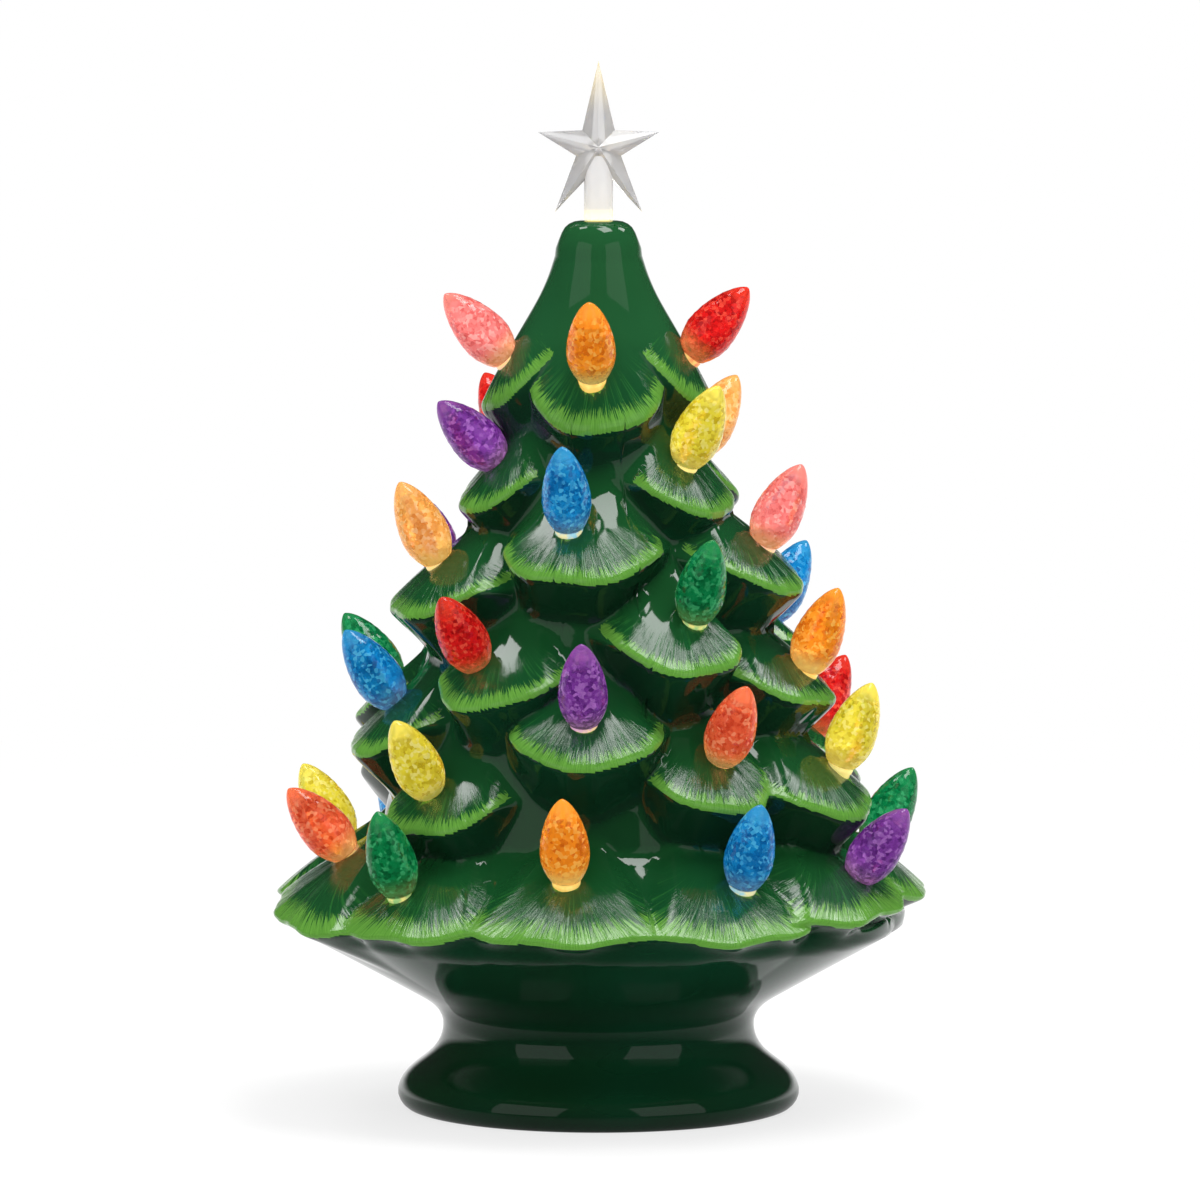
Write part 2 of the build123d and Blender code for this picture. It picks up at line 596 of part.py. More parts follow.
with BuildPart() as circuit_board:
    with BuildSketch(Plane.XY.offset(board_bottom)):
        with Locations((0, board_y)):
            Rectangle(BOARD_LENGTH, BOARD_WIDTH)
    extrude(amount=BOARD_THICKNESS)
circuit_board.part.label = "circuit_board"
export_step(circuit_board.part, "parts/circuit_board.step")

# Light mast on the bay roof: a square tube with lamps on its four sides and one on top
with BuildPart() as led_mast:
    with BuildSketch(Plane.XY.offset(bay_roof)):
        Rectangle(MAST_FLANGE, MAST_FLANGE)
    extrude(amount=MAST_FLANGE_THICKNESS)
    with BuildSketch(Plane.XY.offset(bay_roof)):
        Rectangle(MAST_SIDE, MAST_SIDE)
    extrude(amount=MAST_TOP - bay_roof)
    with BuildSketch(Plane.XY.offset(bay_roof)):
        Rectangle(MAST_SIDE - 2 * MAST_WALL, MAST_SIDE - 2 * MAST_WALL)
    extrude(amount=MAST_TOP - bay_roof - MAST_WALL, mode=Mode.SUBTRACT)
led_mast.part.label = "led_mast"
export_step(led_mast.part, "parts/led_mast.step")

led_planes = [Plane.XY.offset(MAST_TOP)]
for level in range(LED_LEVELS):
    led_height = LED_FIRST + level * LED_PITCH
    for heading in (Vector(1, 0, 0), Vector(-1, 0, 0), Vector(0, 1, 0), Vector(0, -1, 0)):
        led_planes.append(Plane(origin=heading * (MAST_SIDE / 2) + Vector(0, 0, led_height), z_dir=heading))
with BuildPart() as leds:
    for led_plane in led_planes:
        with BuildSketch(led_plane):
            Circle(LED_RADIUS)
        extrude(amount=LED_REACH - LED_RADIUS)
        with Locations(led_plane.offset(LED_REACH - LED_RADIUS)):
            Sphere(LED_RADIUS, arc_size1=0, align=(Align.CENTER, Align.CENTER, Align.MIN))
leds.part.label = "leds"
export_step(leds.part, "parts/leds.step")

# Two leads from the board over the bay to the mast
board_top = board_bottom + BOARD_THICKNESS
lead_height = bay_roof + LEAD_RISE
with BuildPart() as lead_wires:
    for lead_x in (-LEAD_SPACING / 2, LEAD_SPACING / 2):
        with BuildLine() as lead_route:
            FilletPolyline(
                (lead_x, board_y, board_top),
                (lead_x, board_y, lead_height),
                (lead_x, MAST_SIDE / 2, lead_height),
                radius=LEAD_BEND,
            )
        with BuildSketch(Plane.XY.offset(board_top)):
            with Locations((lead_x, board_y)):
                Circle(LEAD_RADIUS)
        sweep(path=lead_route.line)
lead_wires.part.label = "lead_wires"
export_step(lead_wires.part, "parts/lead_wires.step")
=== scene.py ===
# %% [markdown]
# # A lit ceramic tabletop tree
#
# The object is a hollow, green-glazed tree on its own round foot, with translucent push-in bulbs, a clear
# star and a battery base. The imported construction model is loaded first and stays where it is. Every piece
# made below is in metres, in the same frame, and stands for one of its nodes or dresses it.

# %% Load the construction model
import json
import math
from typing import NamedTuple

import bmesh
import bpy
import numpy as np
from mathutils import Matrix, Vector


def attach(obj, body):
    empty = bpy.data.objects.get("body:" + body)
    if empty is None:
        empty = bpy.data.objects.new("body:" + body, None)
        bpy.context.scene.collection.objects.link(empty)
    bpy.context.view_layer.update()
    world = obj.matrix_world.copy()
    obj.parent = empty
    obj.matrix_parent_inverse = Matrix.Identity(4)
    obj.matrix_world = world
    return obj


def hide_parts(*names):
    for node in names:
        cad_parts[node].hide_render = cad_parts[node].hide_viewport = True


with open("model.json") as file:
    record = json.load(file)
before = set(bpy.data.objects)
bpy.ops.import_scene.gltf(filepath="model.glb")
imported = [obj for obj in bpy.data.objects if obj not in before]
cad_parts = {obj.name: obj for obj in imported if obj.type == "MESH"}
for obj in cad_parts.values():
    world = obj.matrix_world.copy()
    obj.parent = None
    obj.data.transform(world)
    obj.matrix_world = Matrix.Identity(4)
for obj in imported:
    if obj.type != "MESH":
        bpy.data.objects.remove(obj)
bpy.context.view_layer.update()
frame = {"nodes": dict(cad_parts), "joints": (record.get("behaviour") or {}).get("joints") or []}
MM = 0.001

# %% [markdown]
# ## Shader maths as plain expressions
#
# Node trees are quick to wire by hand and slow to read. Here a small class wraps an output socket, so that
# `1 - mask * 0.5` adds its Math nodes by itself, and one method on the finish adds any other node: its
# type, its settings, then the values or links of its inputs.

# %% A socket that can be calculated with, and a finish that adds nodes


class Wire:
    """An output socket. Arithmetic on it adds Math nodes to its finish."""

    def __init__(self, finish, socket):
        self.finish = finish
        self.socket = socket

    def math(self, operation, first, second=0.0):
        return self.finish.node("ShaderNodeMath", {"operation": operation}, {0: first, 1: second})

    def __add__(self, other):
        return self.math("ADD", self, other)

    def __radd__(self, other):
        return self.math("ADD", other, self)

    def __sub__(self, other):
        return self.math("SUBTRACT", self, other)

    def __rsub__(self, other):
        return self.math("SUBTRACT", other, self)

    def __mul__(self, other):
        return self.math("MULTIPLY", self, other)

    def __rmul__(self, other):
        return self.math("MULTIPLY", other, self)

    def __gt__(self, other):
        return self.math("GREATER_THAN", self, other)

    def step(self, low, high):
        """Runs smoothly from 0 at low to 1 at high."""
        ramp = {"interpolation_type": "SMOOTHSTEP"}
        inputs = {"Value": self, "From Min": low, "From Max": high}
        return self.finish.node("ShaderNodeMapRange", ramp, inputs)


class Finish:
    """A material with one Principled shader, and the one method that adds nodes to it."""

    def __init__(self, name):
        self.material = bpy.data.materials.new(name)
        self.material.use_nodes = True
        self.tree = self.material.node_tree
        self.skin = self.tree.nodes["Principled BSDF"]

    def plug(self, node, inputs):
        for key, value in inputs.items():
            if isinstance(value, Wire):
                self.tree.links.new(value.socket, node.inputs[key])
            else:
                node.inputs[key].default_value = value

    def node(self, kind, settings=None, inputs=None, output=0):
        node = self.tree.nodes.new(kind)
        for key, value in (settings or {}).items():
            setattr(node, key, value)
        self.plug(node, inputs or {})
        return Wire(self, node.outputs[output])

    def blend(self, factor, first, second):
        """A colour between two colours."""
        mix = {"data_type": "RGBA"}
        return self.node("ShaderNodeMix", mix, {0: factor, 6: first, 7: second}, 2)

    def place(self):
        """The point on the piece, in metres, which moves with it."""
        return self.node("ShaderNodeTexCoord", output="Object")

    def axis(self, vector, name):
        """One component of a vector."""
        return self.node("ShaderNodeSeparateXYZ", None, {"Vector": vector}, name)

    def attribute(self, name):
        return self.node("ShaderNodeAttribute", {"attribute_name": name}, output="Fac")

    def noise(self, where, scale, detail=2.0, roughness=0.5):
        inputs = {"Vector": where, "Scale": scale, "Detail": detail, "Roughness": roughness}
        return self.node("ShaderNodeTexNoise", None, inputs)

    def bump(self, height, strength, distance):
        inputs = {"Height": height, "Strength": strength, "Distance": distance}
        return self.node("ShaderNodeBump", None, inputs)

    def set(self, **sockets):
        self.plug(self.skin, {name.replace("_", " "): value for name, value in sockets.items()})
        return self


def rgb(red, green, blue):
    """An 8-bit screen colour as the linear colour that a socket takes."""
    shares = [level / 255 for level in (red, green, blue)]
    linear = [((share + 0.055) / 1.055) ** 2.4 if share > 0.04045 else share / 12.92 for share in shares]
    return (*linear, 1.0)


print("glaze green as the shader takes it:", [round(c, 3) for c in rgb(20, 75, 35)])

# %% [markdown]
# ## The branches
#
# The mould of such a tree gives every branch its own place and lean. The table follows the construction
# model, with two ends of its own for each rim. The azimuth runs from the front towards the right. Reach and
# height give the lowest point of the rim, left and right how far the rim runs to its two ends, and turn how
# much higher it ends on the right.

# %% The branch table, in millimetres and degrees


class Branch(NamedTuple):
    azimuth: float
    reach: float
    height: float
    left: float
    right: float
    turn: float = 0.0


class Tier(NamedTuple):
    """How the branches of one row are shaped: the slope of their tops, how far the ends of the rim rise, how
    sharply the hood falls off to the sides, how round its ridge is, how far the underside draws in for each
    millimetre down, how steeply the wall falls away past the edges of the fan, and how far the paint is
    brushed up from the rim."""

    branches: list
    slope: float
    rim_lift: float
    hood: float
    ridge: float
    draw_in: float
    side_drop: float
    brush: float


CROWN = [
    Branch(-2, 40.5, 233, 31, 31), Branch(86, 40.5, 238, 30, 30), Branch(178, 40.5, 235, 31, 31),
    Branch(-86, 40.5, 238, 30, 30),
]
SHOULDER = [
    Branch(-64, 51, 205.5, 30, 28), Branch(54, 52, 204.5, 33, 30), Branch(116, 51, 206, 30, 30),
    Branch(172, 52, 204, 31, 30), Branch(-132, 51, 206, 32, 30),
]
MIDDLE = [
    Branch(-8, 66, 184.5, 37, 40), Branch(65, 74, 178.5, 31, 33), Branch(149, 73, 177, 36, 34),
    Branch(200, 73, 175, 33, 36), Branch(246, 74, 167, 34, 34), Branch(-66, 75, 170.5, 33, 37),
    Branch(-35, 80, 142.5, 24, 36), Branch(27, 81, 154.5, 35, 24), Branch(67, 84, 141, 35, 33),
    Branch(116, 80, 149, 34, 36), Branch(168, 83, 141, 36, 30), Branch(218, 86, 140, 34, 34),
    Branch(251, 87, 130, 33, 30), Branch(-71, 88, 123.5, 34, 28), Branch(-3, 88, 124.5, 34, 33),
    Branch(-44, 91, 100.5, 30, 32), Branch(32, 90, 109, 31, 25), Branch(64, 100, 104, 39, 34),
    Branch(117, 97, 108, 36, 34), Branch(158, 96, 106, 33, 36), Branch(203, 96, 105, 36, 32),
    Branch(230, 98, 106, 34, 34),
]
BOTTOM = [
    Branch(-70, 115, 68.5, 36, 36, -9), Branch(-40, 111.5, 67.5, 25, 33), Branch(-6, 110.2, 68.5, 35, 33),
    Branch(27, 111.5, 68, 34, 28), Branch(60, 112, 72, 40, 38, 5), Branch(95, 112, 74, 40, 34, 4),
    Branch(128, 112, 71, 33, 33), Branch(159, 111.6, 69, 31, 32), Branch(190, 111.6, 69, 31, 32),
    Branch(221, 112, 70, 31, 33), Branch(-106, 112, 71, 36, 36),
]
TIERS = [
    Tier(CROWN, slope=64, rim_lift=17, hood=0.25, ridge=24, draw_in=0.75, side_drop=0.35, brush=1.1),
    Tier(SHOULDER, slope=50, rim_lift=15, hood=0.4, ridge=22, draw_in=0.75, side_drop=1.2, brush=1.0),
    Tier(MIDDLE, slope=46, rim_lift=13, hood=0.4, ridge=22, draw_in=0.75, side_drop=1.2, brush=1.0),
    Tier(BOTTOM, slope=40, rim_lift=3.4, hood=0.2, ridge=24, draw_in=2.15, side_drop=1.2, brush=1.45),
]
print("branches:", sum(len(tier.branches) for tier in TIERS))

# %% [markdown]
# ## The shape of the glazed tree
#
# Each branch is a hood: it falls away to both sides of a round ridge, carries a few soft folds that fan out
# from the bulb, and ends in a wavy rim, under which the wall draws in again. Sculpting forty-two hoods by
# hand would be slow, and a boolean of cones would leave hard seams. Seen from the trunk's axis there is just
# one wall at every azimuth and height, so the tree is a field of radii: the largest of all hoods and the
# trunk, with a round fillet where they meet, as slip leaves in a mould.

# %% The trunk's profile and the rounding of a corner
TRUNK = [
    (49.0, 26.0), (53.0, 28.4), (54.3, 33.4), (57.9, 37.0), (102.0, 62.5), (102.0, 68.5), (74.0, 94.0),
    (67.0, 129.0), (55.0, 165.0), (42.0, 196.0), (31.5, 230.0), (25.0, 261.0), (19.2, 276.0), (14.8, 290.0),
    (12.8, 297.0),
]
MID_HEIGHT = 150.0
PROFILE_STEP = 0.5
PROFILE_SOFTENING = 9


def trunk_radius(height):
    """The trunk without its branches, with its corners rounded."""
    radii, heights = zip(*TRUNK)
    fine = np.arange(heights[0], heights[-1], PROFILE_STEP)
    kernel = np.hanning(PROFILE_SOFTENING)
    padded = np.pad(np.interp(fine, heights, radii), PROFILE_SOFTENING // 2, mode="edge")
    return np.interp(height, fine, np.convolve(padded, kernel / kernel.sum(), mode="valid"))


def larger(first, second, fillet):
    """The larger of two, with a fillet where they cross."""
    near = np.clip(1 - np.abs(first - second) / fillet, 0, 1)
    return np.maximum(first, second) + near**2 * fillet / 4


def smaller(first, second, fillet):
    return -larger(-first, -second, fillet)


print("trunk radius at mid height:", round(float(trunk_radius(MID_HEIGHT)), 1), "mm")

# %% [markdown]
# One branch as a field: `across` runs sideways along the rim, `down` runs from the top of the fan to the
# rim. The function also gives the distance up from the rim and the place along the fan, because the painted
# edge follows both.

# %% The field of one branch
FACING = 0.3
FAN_LENGTH = 40.0
FAN_START = 4.0
FAN_TOP_SHARE = 0.45
FAN_SPREAD = 0.6
FOLDS = 9.0
FOLD_DEPTH = 0.6
FOLD_GROWTH = 1.5
CREASES = 27.0
CREASE_DEPTH = 0.16
RIM_STEEPNESS = 0.83
SEAT_RISE = 16.0
RIM_CURVE = 2.6
RIM_WAVE = 0.6
RIM_WAVE_RATE = 0.2
RIM_WAVE_PHASE = 2.4
RIM_EDGE = 3.4
SIDE_FILLET = 4.0
PAINT_UNDER_RIM = 1.2
FAR_FROM_RIM = 60.0


def share_of_rim(branch, across):
    """0 in the middle of the rim, 1 at its ends."""
    return np.where(across < 0, -across / branch.left, across / branch.right)


def rim_height(branch, tier, number, across):
    """The rim is nearly level in the middle, turns up at both ends and waves a little."""
    lift = tier.rim_lift * share_of_rim(branch, across) ** RIM_CURVE
    wave = RIM_WAVE * np.sin(across * RIM_WAVE_RATE + RIM_WAVE_PHASE * number)
    return branch.height + lift + wave + branch.turn * across / (branch.left + branch.right)


def branch_field(branch, tier, number, azimuth, height):
    turn = np.radians(azimuth - branch.azimuth)
    facing = np.cos(turn) > FACING
    across = branch.reach * np.sin(turn)
    slope = math.radians(tier.slope)
    rim = rim_height(branch, tier, number, across)
    down = FAN_LENGTH - (height - branch.height) / math.sin(slope)
    fan = np.arctan2(across, np.maximum(down, FAN_START))
    folding = np.clip(down / FAN_LENGTH, 0, 1.1) ** FOLD_GROWTH
    folds = FOLD_DEPTH * np.cos(FOLDS * fan + 1.7 * number) + CREASE_DEPTH * np.cos(CREASES * fan + number)
    hood = np.sqrt(tier.ridge**2 + (tier.hood * across) ** 2) - tier.ridge
    rise = height - branch.height
    bulge = RIM_STEEPNESS + (1 - RIM_STEEPNESS) * rise / SEAT_RISE
    top = branch.reach - rise * bulge / math.tan(slope) - hood + folding * folds
    below_rim = (rim - height) * (1 / math.tan(slope) + tier.draw_in)
    fan_edge = FAN_TOP_SHARE + FAN_SPREAD * np.clip(down / FAN_LENGTH, 0, 1.2)
    half_width = (branch.left + branch.right) / 2
    past_side = (share_of_rim(branch, across) - fan_edge) * half_width * tier.side_drop
    radius = smaller(top, top - larger(below_rim, past_side, SIDE_FILLET), RIM_EDGE)
    from_rim = (height - rim) / math.sin(slope) / tier.brush
    from_rim = np.where(from_rim > -PAINT_UNDER_RIM, np.maximum(from_rim, 0), FAR_FROM_RIM)
    return np.where(facing, radius, 0.0), from_rim, fan * FAN_LENGTH


# %% All branches, the trunk and the lobes of the bowl as one field
HOOD_FILLET = 2.5
TRUNK_FILLET = 7.0
UNDER_TRUNK = 1.0
FAN_APART = 50.0
LOBE_DEPTH = 2.6
LOBE_FADE = 1.5
LOBE_HEIGHTS = (38.0, 66.0)
LOBE_TOP = 68.0
ROWS = [(branch, tier) for tier in TIERS for branch in tier.branches]
BRANCHES = [(branch, tier, number) for number, (branch, tier) in enumerate(ROWS)]


def bowl_lobes(azimuth, height):
    """The lobes of the bottom row run on down the bowl, with a crease between them, and fade out."""
    lobes = np.zeros_like(azimuth)
    for branch in BOTTOM:
        share = share_of_rim(branch, branch.reach * np.sin(np.radians(azimuth - branch.azimuth)))
        facing = np.cos(np.radians(azimuth - branch.azimuth)) > 0
        lobes = np.maximum(lobes, np.where(facing, 1 - share**2, 0))
    fade = np.interp(height, LOBE_HEIGHTS, (0, 1)) * (height < LOBE_TOP)
    return LOBE_DEPTH * lobes * fade**LOBE_FADE


def tree_field(azimuth, height):
    """Radius of the glazed wall, with the distance to the nearest rim and the place along the fan."""
    hoods = np.zeros_like(azimuth)
    from_rim = np.full_like(azimuth, FAR_FROM_RIM)
    fan = np.zeros_like(azimuth)
    trunk = trunk_radius(height) + bowl_lobes(azimuth, height)
    for branch, tier, number in BRANCHES:
        radius, distance, along = branch_field(branch, tier, number, azimuth, height)
        front = (radius > hoods) & (radius > trunk - UNDER_TRUNK)
        from_rim = np.where(front, distance, from_rim)
        fan = np.where(front, along + FAN_APART * number, fan)
        hoods = larger(hoods, radius, HOOD_FILLET)
    return larger(hoods, trunk, TRUNK_FILLET), from_rim, fan


front_wall = tree_field(np.array([0.0]), np.array([MID_HEIGHT]))[0][0]
print("wall at the front, mid height:", round(float(front_wall), 1), "mm")

# %% [markdown]
# The mesh starts as a plain sleeve: one line of vertices, spun once round. Every vertex is then moved to
# its place by the field. Rows are drawn together where a rim passes, so that the rims stay crisp. Below the
# branches the rows follow the turned pedestal, then run back up inside as the inner wall, and the last ring
# is bridged to the first round the star's hole, which closes the shell.

# %% Rows of the sleeve
COLUMNS = 420
FIELD_ROWS = 178
DOME_BASE = 290.0
FIELD_LOW = 34.0
FINE_ROWS = 1400
CROWDING = 2.2
CROWD_WIDTH = 4.0
CROWD_BELOW_RIM = 1.0
STAR_HOLE = 3.7
DOME = [
    (STAR_HOLE, 302.0), (6.2, 302.0), (8.2, 301.7), (10.0, 300.9), (11.4, 299.7), (12.5, 297.9),
    (13.5, 295.4), (14.5, 292.7),
]
PEDESTAL = [
    (53.6, 31.6), (53.1, 29.8), (53.0, 28.0), (53.2, 26.0), (53.8, 23.8), (54.9, 21.6), (56.5, 19.4),
    (58.7, 17.3), (61.0, 15.5), (63.2, 13.8), (65.2, 12.0), (66.7, 10.2), (67.8, 8.2), (68.4, 6.2),
    (68.4, 4.4), (67.8, 2.7), (66.9, 1.4), (65.7, 0.4), (64.5, 0.0),
]
INSIDE = [
    (57.0, 0.0), (57.0, 12.6), (47.0, 22.0), (47.0, 34.0), (60.0, 45.0), (88.0, 64.0), (86.0, 70.0),
    (70.0, 95.0), (64.0, 129.0), (52.0, 165.0), (38.0, 196.0), (26.0, 230.0), (20.0, 258.0),
    (STAR_HOLE, 270.0),
]


def field_rows(azimuths):
    """Heights of the rows in each column, crowded where a rim passes."""
    fine = np.linspace(DOME_BASE, FIELD_LOW, FINE_ROWS)
    crowd = np.ones((len(azimuths), len(fine)))
    for branch, tier, number in BRANCHES:
        turn = np.radians(azimuths - branch.azimuth)
        across = branch.reach * np.sin(turn)
        share = share_of_rim(branch, across)
        present = np.where(np.cos(turn) > FACING, np.clip(1.6 - share, 0, 0.5) * 2, 0)
        rim = rim_height(branch, tier, number, across)
        from_crowd = (fine[None, :] - rim[:, None] + CROWD_BELOW_RIM) / CROWD_WIDTH
        crowd += CROWDING * present[:, None] * np.exp(-(from_crowd**2))
    filled = np.cumsum(crowd, axis=1)
    filled = (filled - filled[:, :1]) / (filled[:, -1:] - filled[:, :1])
    wanted = np.linspace(0, 1, FIELD_ROWS)
    return np.array([np.interp(wanted, column, fine) for column in filled])


row_count = len(DOME) + FIELD_ROWS + len(PEDESTAL) + len(INSIDE)
print("sleeve:", COLUMNS, "columns and", row_count, "rows")

# %% Spin the sleeve and work out where every vertex goes


def lathe(points, steps):
    """A line of points, spun once round the Z axis."""
    turned = bmesh.new()
    line = [turned.verts.new(point) for point in points]
    edges = [turned.edges.new(pair) for pair in zip(line, line[1:])]
    spin = {"cent": (0, 0, 0), "axis": (0, 0, 1), "angle": 2 * math.pi, "steps": steps, "use_merge": True}
    bmesh.ops.spin(turned, geom=line + edges, **spin)
    return turned


shell = lathe([(1.0, 0.0, -row) for row in range(row_count)], COLUMNS)
sleeve = np.array([vert.co for vert in shell.verts])
azimuth = np.degrees(np.arctan2(sleeve[:, 0], -sleeve[:, 1]))
row = np.rint(-sleeve[:, 2]).astype(int)
column = np.rint(azimuth / 360 * COLUMNS).astype(int) % COLUMNS
column_azimuths = np.arange(COLUMNS) * 360 / COLUMNS

heights = np.zeros((COLUMNS, row_count))
radii = np.zeros((COLUMNS, row_count))
radii[:, : len(DOME)], heights[:, : len(DOME)] = np.array(DOME).T
field = slice(len(DOME), len(DOME) + FIELD_ROWS)
heights[:, field] = field_rows(column_azimuths)
all_azimuths = np.repeat(column_azimuths[:, None], FIELD_ROWS, axis=1)
all_fields = tree_field(all_azimuths.ravel(), heights[:, field].ravel())
radii[:, field], from_rim, fan = (values.reshape(COLUMNS, FIELD_ROWS) for values in all_fields)
for offset, (radius, height) in enumerate(PEDESTAL + INSIDE):
    heights[:, field.stop + offset] = height
    radii[:, field.stop + offset] = radius
print("widest place of the tree:", round(float(radii.max()), 1), "mm from the axis")

# %% Move the vertices, and give them what the paint follows
SHARP = math.radians(70)
paint = {name: np.zeros((COLUMNS, row_count)) for name in ("from_rim", "fan", "bare")}
paint["from_rim"][:] = FAR_FROM_RIM
paint["from_rim"][:, field] = from_rim
paint["fan"][:, field] = fan
paint["bare"][:, field.stop + len(PEDESTAL) :] = 1.0
layers = {name: shell.verts.layers.float.new(name) for name in paint}
for vert, col, ring in zip(shell.verts, column, row):
    turn = math.radians(column_azimuths[col])
    radius = radii[col, ring] * MM
    vert.co = (radius * math.sin(turn), -radius * math.cos(turn), heights[col, ring] * MM)
    for name, layer in layers.items():
        vert[layer] = paint[name][col, ring]
end_rings = [edge for edge in shell.edges if edge.is_boundary]
bmesh.ops.bridge_loops(shell, edges=end_rings)
bmesh.ops.recalc_face_normals(shell, faces=shell.faces)
# How far each vertex faces up: the glaze's painted light and shade follow it, and the brush marks lie on the
# tops.
facing_up = shell.verts.layers.float.new("facing_up")
shell.normal_update()
for vert in shell.verts:
    vert[facing_up] = vert.normal.z
for face in shell.faces:
    face.smooth = True
print("open edges:", sum(edge.is_boundary for edge in shell.edges), "faces:", len(shell.faces))


def add_piece(name, mesh_data):
    """Makes a bmesh an object at the origin."""
    mesh = bpy.data.meshes.new(name)
    mesh_data.to_mesh(mesh)
    mesh_data.free()
    piece = bpy.data.objects.new(name, mesh)
    bpy.context.scene.collection.objects.link(piece)
    return piece


tree = add_piece("glazed_tree", shell)
tree.data.set_sharp_from_angle(angle=SHARP)
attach(tree, "tree")
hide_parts("ceramic_tree")

# %% [markdown]
# ## Bulbs
#
# The bulbs are moulded in clear coloured plastic with a net of small facets, which scatter the lamp's
# light. A smooth surface with a bump map would look like wax, so the facets are real: alternate rings are
# turned by half a facet and the faces split, and the mesh stays flat-shaded up to the smooth tip.

# %% The place of each bulb, read from its joint and its node
BULB_LENGTH = 28.0
NECK_LENGTH = 7.0


def bulb_place(node, joint):
    """A turn and a move that carry a bulb standing at the origin to its seat."""
    axis = Vector(joint["axis"]).normalized()
    tip = max((vert.co for vert in frame["nodes"][node].data.vertices), key=lambda spot: spot.dot(axis))
    seat = tip - axis * BULB_LENGTH * MM
    return Matrix.Translation(seat) @ axis.to_track_quat("Z", "Y").to_matrix().to_4x4()


joints = {joint["child"]: joint for joint in frame["joints"]}
bulb_nodes = sorted(name for name in frame["nodes"] if name.startswith("bulb_"))
bulb_places = {name: bulb_place(name, joints[name[:7]]) for name in bulb_nodes}
print("bulbs:", len(bulb_nodes))

# %% Faceted bulb mesh
FACETS = 36
BODY_RINGS = 22
TIP_RINGS = 6
BULB_RADIUS = 8.4
BODY_START = -2.4
NECK_RADIUS = 4.4
NECK_END_RADIUS = 4.0
NECK_EDGE = 0.5
COLLAR_RADIUS = 4.7
COLLAR_HEIGHT = 2.0
COLLAR_EDGE = 0.4
WAIST_RADIUS = 4.5
WIDEST = 0.33
FIRST_RING = 0.02
SMOOTH_TIP = 0.84
LAST_RING = 0.995
FACET_JITTER = 0.006
CLEAR_OF_CAD = 0.1


def bulb_radius(share):
    """Half the width of the bulb at a share of its length: full low down, drawn in to a round tip."""
    if share < WIDEST:
        return COLLAR_RADIUS + (BULB_RADIUS - COLLAR_RADIUS) * math.sin(math.pi / 2 * share / WIDEST) ** 0.8
    return BULB_RADIUS * (1 - ((share - WIDEST) / (1 - WIDEST)) ** 1.8) ** 0.68


def bulb_outline(length):
    """Neck, collar, faceted body and smooth tip, from the foot to the tip, with the shares of its rings."""
    facets = [FIRST_RING + (SMOOTH_TIP - FIRST_RING) * ring / BODY_RINGS for ring in range(BODY_RINGS + 1)]
    rounding = [math.sin(math.pi / 2 * (ring + 1) / TIP_RINGS) for ring in range(TIP_RINGS)]
    shares = facets + [SMOOTH_TIP + (LAST_RING - SMOOTH_TIP) * part for part in rounding]
    collar_foot = BODY_START - COLLAR_HEIGHT
    outline = [(0.0, -NECK_LENGTH), (NECK_END_RADIUS, -NECK_LENGTH), (NECK_RADIUS, -NECK_LENGTH + NECK_EDGE)]
    outline += [(NECK_RADIUS, collar_foot), (COLLAR_RADIUS, collar_foot + COLLAR_EDGE)]
    outline += [(COLLAR_RADIUS + 0.1, BODY_START - 0.3), (WAIST_RADIUS, BODY_START)]
    outline += [(bulb_radius(share), BODY_START + share * length) for share in shares]
    return outline + [(0.0, BODY_START + length)], shares


def make_bulb():
    length = BULB_LENGTH - BODY_START - CLEAR_OF_CAD
    outline, shares = bulb_outline(length)
    bulb = lathe([(radius * MM, 0, height * MM) for radius, height in outline], FACETS)
    bmesh.ops.remove_doubles(bulb, verts=bulb.verts, dist=1e-6)
    half_facet = Matrix.Rotation(math.pi / FACETS, 3, "Z")
    low = (BODY_START + shares[0] * length) * MM
    spacing = (shares[1] - shares[0]) * length * MM
    for vert in bulb.verts:
        ring = round((vert.co.z - low) / spacing)
        if 0 < ring <= BODY_RINGS and vert.co.z < (BODY_START + (SMOOTH_TIP + 0.001) * length) * MM:
            if ring % 2:
                vert.co = half_facet @ vert.co
            turn = math.atan2(vert.co.y, vert.co.x)
            jitter = math.sin(37.0 * turn + 11.3 * ring) + math.sin(23.0 * turn - 7.1 * ring)
            vert.co.xy *= 1 - 2 * FACET_JITTER + FACET_JITTER * jitter
    bmesh.ops.triangulate(bulb, faces=bulb.faces, quad_method="SHORT_EDGE")
    for face in bulb.faces:
        middle = face.calc_center_median()
        face.material_index = 1 if middle.z < BODY_START * MM else 0
        face.smooth = middle.z > (BODY_START + SMOOTH_TIP * length) * MM or face.material_index == 1
    bmesh.ops.recalc_face_normals(bulb, faces=bulb.faces)
    along = bulb.verts.layers.float.new("along")
    for vert in bulb.verts:
        vert[along] = (vert.co.z / MM - BODY_START) / length
    return bulb


print("facets on a bulb:", len(make_bulb().faces))
